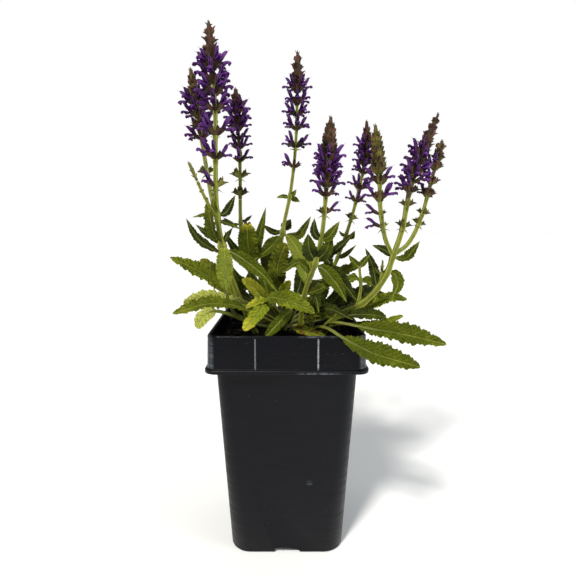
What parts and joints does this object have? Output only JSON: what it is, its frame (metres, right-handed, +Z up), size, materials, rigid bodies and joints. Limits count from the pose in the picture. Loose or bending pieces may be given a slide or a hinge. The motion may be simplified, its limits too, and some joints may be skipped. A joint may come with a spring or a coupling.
{
  "type": "perennial salvia in nursery pot",
  "caption": "Perennial salvia in flower, with toothed basal leaves, leafy square stems and violet flower spikes, in a square plastic nursery pot of potting mix.",
  "frame": {"origin": "middle of the pot's underside, on its small centre foot, level with the four corner feet", "axes": "+Z up along the pot, -Y towards the front, which is the side with the large low leaves on its right, +X to the right seen from the front"},
  "size_m": [0.194, 0.151, 0.354],
  "materials": {
    "pot_plastic": "black injection-moulded plastic, dull satin, scuffed at the ribs and lip",
    "potting_mix": "moist bark and peat, crumbly and matte",
    "leaf": "living leaf, net-veined and finely hairy, satin",
    "flower": "living petal and calyx, soft and velvety",
    "bud": "living bracts, olive green, matte"
  },
  "bodies": {
    "root": {"pot": "pot_plastic", "potting_mix": "potting_mix", "basal_rosette": "leaf", "leafy_stem_a": "leaf", "leafy_stem_c": "leaf", "leafy_stem_d": "leaf", "leafy_stem_e": "leaf", "leafy_stem_f": "leaf", "leafy_stem_g": "leaf", "flower_spike_a": "flower", "flower_spike_b": "flower", "flower_spike_c": "flower", "flower_spike_d": "flower", "flower_spike_e": "flower", "flower_spike_f": "flower", "flower_spike_g": "flower", "flower_spike_h": "flower", "flower_spike_i": "flower", "flower_spike_j": "bud", "flower_spike_k": "bud"}
  },
  "joints": []
}
